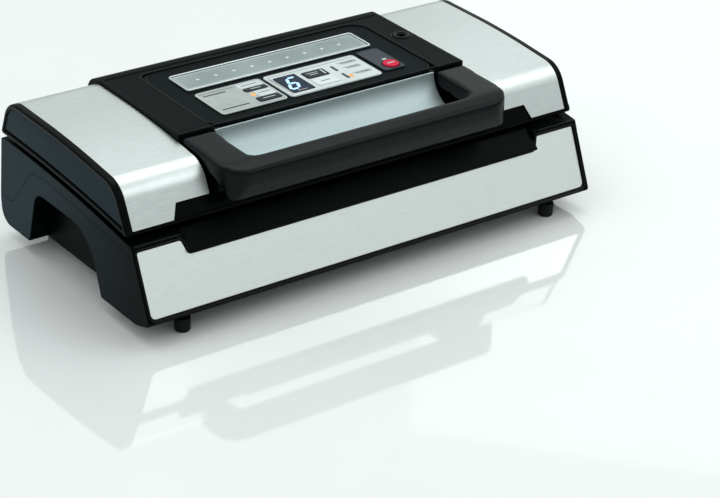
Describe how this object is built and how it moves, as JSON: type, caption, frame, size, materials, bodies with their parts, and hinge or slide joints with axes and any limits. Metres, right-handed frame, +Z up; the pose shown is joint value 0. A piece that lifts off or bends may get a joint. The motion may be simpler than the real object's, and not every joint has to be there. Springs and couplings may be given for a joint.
{
  "type": "vacuum sealer",
  "caption": "Countertop vacuum sealer with a hinged steel-covered lid, a latch handle, a sloping control panel, a sealing bar and a vacuum trough.",
  "frame": {"origin": "middle of the object, on the surface that it stands on", "axes": "+X to the right seen from the front, along the long side; -Y to the front, where the bag goes in; +Z up"},
  "size_m": [0.408, 0.2189, 0.1212],
  "materials": {
    "satin_plastic": "satin, dark blue-grey, finely textured",
    "black_plastic": "satin black",
    "gloss_plastic": "gloss black",
    "steel": "brushed, satin",
    "aluminium": "satin",
    "rubber": "matt black",
    "silicone": "matt red-brown silicone",
    "key_light": "matt, light grey",
    "key_dark": "satin, dark blue-grey",
    "key_grey": "satin, dark grey with a pale printed border",
    "red": "glossy red",
    "display": "glossy dark blue window",
    "circuit": "green laminate",
    "iron": "plain steel",
    "copper": "bare heating strip",
    "tube": "clear silicone tube"
  },
  "bodies": {
    "base": {"bag_ledge": "black_plastic", "casing_screw_front_left": "iron", "casing_screw_front_right": "iron", "casing_screw_rear_left": "iron", "casing_screw_rear_right": "iron", "foot_front_left": "rubber", "foot_front_right": "rubber", "foot_rear_left": "rubber", "foot_rear_right": "rubber", "front_trim": "steel", "heating_strip": "copper", "hinge_bracket_left": "iron", "hinge_bracket_right": "iron", "hinge_pin_left": "iron", "hinge_pin_right": "iron", "latch_catch_left": "iron", "latch_catch_right": "iron", "lower_casing": "satin_plastic", "lower_gasket": "rubber", "power_board": "circuit", "power_inlet": "black_plastic", "pump_body": "black_plastic", "pump_motor": "iron", "sealing_bar": "silicone", "transformer": "iron", "upper_casing": "satin_plastic", "vacuum_hose": "tube"},
    "lid": {"cheek_left": "satin_plastic", "cheek_right": "satin_plastic", "control_board": "circuit", "control_housing": "satin_plastic", "decor_plate": "aluminium", "display_window": "display", "fascia": "satin_plastic", "handle_pin_left": "iron", "handle_pin_right": "iron", "hose_port": "gloss_plastic", "inner_tray": "black_plastic", "key_plate_left": "key_grey", "key_plate_right": "key_grey", "lid_shell": "black_plastic", "pressure_strip": "silicone", "scoop_cover": "aluminium", "steel_cover_left": "steel", "steel_cover_right": "steel", "stop_tile": "key_grey", "upper_gasket": "rubber"},
    "handle": {"handle": "black_plastic"},
    "latch": {"latch_shaft": "iron", "latch_hook_left": "black_plastic", "latch_hook_right": "black_plastic"},
    "key_program": {"key_program": "key_dark"},
    "key_vacuum": {"key_vacuum": "key_dark"},
    "key_function": {"key_function": "key_dark"},
    "key_seal": {"key_seal": "key_light"},
    "stop_button": {"stop_button": "red"}
  },
  "joints": [
    {"name": "lid_hinge", "type": "hinge", "parent": "base", "child": "lid", "pos_m": [0, 0.0984, 0.0907], "axis": [-1, 0, 0], "range_deg": [0, 86]},
    {"name": "handle_lever", "type": "hinge", "parent": "lid", "child": "handle", "pos_m": [0, -0.0396, 0.1095], "axis": [-1, 0, 0], "range_deg": [-6, 15]},
    {"name": "latch_turn", "type": "hinge", "parent": "lid", "child": "latch", "pos_m": [0, -0.028, 0.094], "axis": [1, 0, 0], "range_deg": [-20, 8]},
    {"name": "key_program_press", "type": "slide", "parent": "lid", "child": "key_program", "axis": [0, 0.0228, -0.9997], "range_m": [0, 0.0005], "stiffness_N_per_m": 400, "springref_m": -0.0005},
    {"name": "key_vacuum_press", "type": "slide", "parent": "lid", "child": "key_vacuum", "axis": [0, 0.0228, -0.9997], "range_m": [0, 0.0005], "stiffness_N_per_m": 400, "springref_m": -0.0005},
    {"name": "key_function_press", "type": "slide", "parent": "lid", "child": "key_function", "axis": [0, 0.0228, -0.9997], "range_m": [0, 0.0005], "stiffness_N_per_m": 400, "springref_m": -0.0005},
    {"name": "key_seal_press", "type": "slide", "parent": "lid", "child": "key_seal", "axis": [0, 0.0228, -0.9997], "range_m": [0, 0.0005], "stiffness_N_per_m": 400, "springref_m": -0.0005},
    {"name": "stop_button_press", "type": "slide", "parent": "lid", "child": "stop_button", "axis": [0, 0.0228, -0.9997], "range_m": [0, 0.0005], "stiffness_N_per_m": 400, "springref_m": -0.0005}
  ],
  "couplings": [
    {"joint": "latch_turn", "follows": "handle_lever", "ratio": -1.3}
  ]
}
